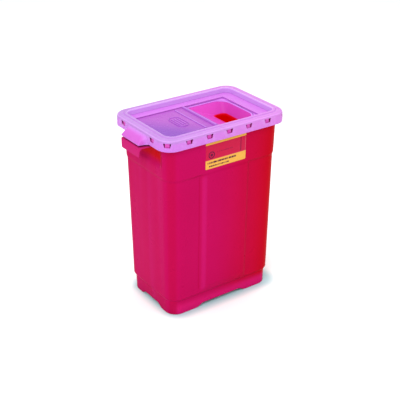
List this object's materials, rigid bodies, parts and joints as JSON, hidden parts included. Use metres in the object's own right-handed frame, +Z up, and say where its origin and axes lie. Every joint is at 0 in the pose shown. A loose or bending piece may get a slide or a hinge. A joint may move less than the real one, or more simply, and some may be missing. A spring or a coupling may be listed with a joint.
{
  "type": "sharps container",
  "caption": "Tall red floor-standing sharps container with a translucent clip-on lid, a sliding door over a drop chute, and lift handles.",
  "frame": {"origin": "centre of the footprint, on the floor under the corner feet", "axes": "+X along the long sides and the way the door slides shut, +Y across, +Z up"},
  "size_m": [0.536, 0.327, 0.66],
  "materials": {
    "tub_plastic": "satin moulded polypropylene",
    "lid_plastic": "translucent satin",
    "chute_plastic": "translucent satin",
    "door_plastic": "translucent satin",
    "gasket_rubber": "soft lilac silicone",
    "label_print": "printed film"
  },
  "bodies": {
    "bin": {"container": "tub_plastic", "lid": "lid_plastic", "drop_chute": "chute_plastic", "rim_gasket": "gasket_rubber", "door_gasket": "gasket_rubber", "front_label": "label_print", "rear_label": "label_print"},
    "door": {"slide_door": "door_plastic"}
  },
  "joints": [
    {"name": "door_slide", "type": "slide", "parent": "bin", "child": "door", "axis": [1, 0, 0], "range_m": [0, 0.163]}
  ]
}
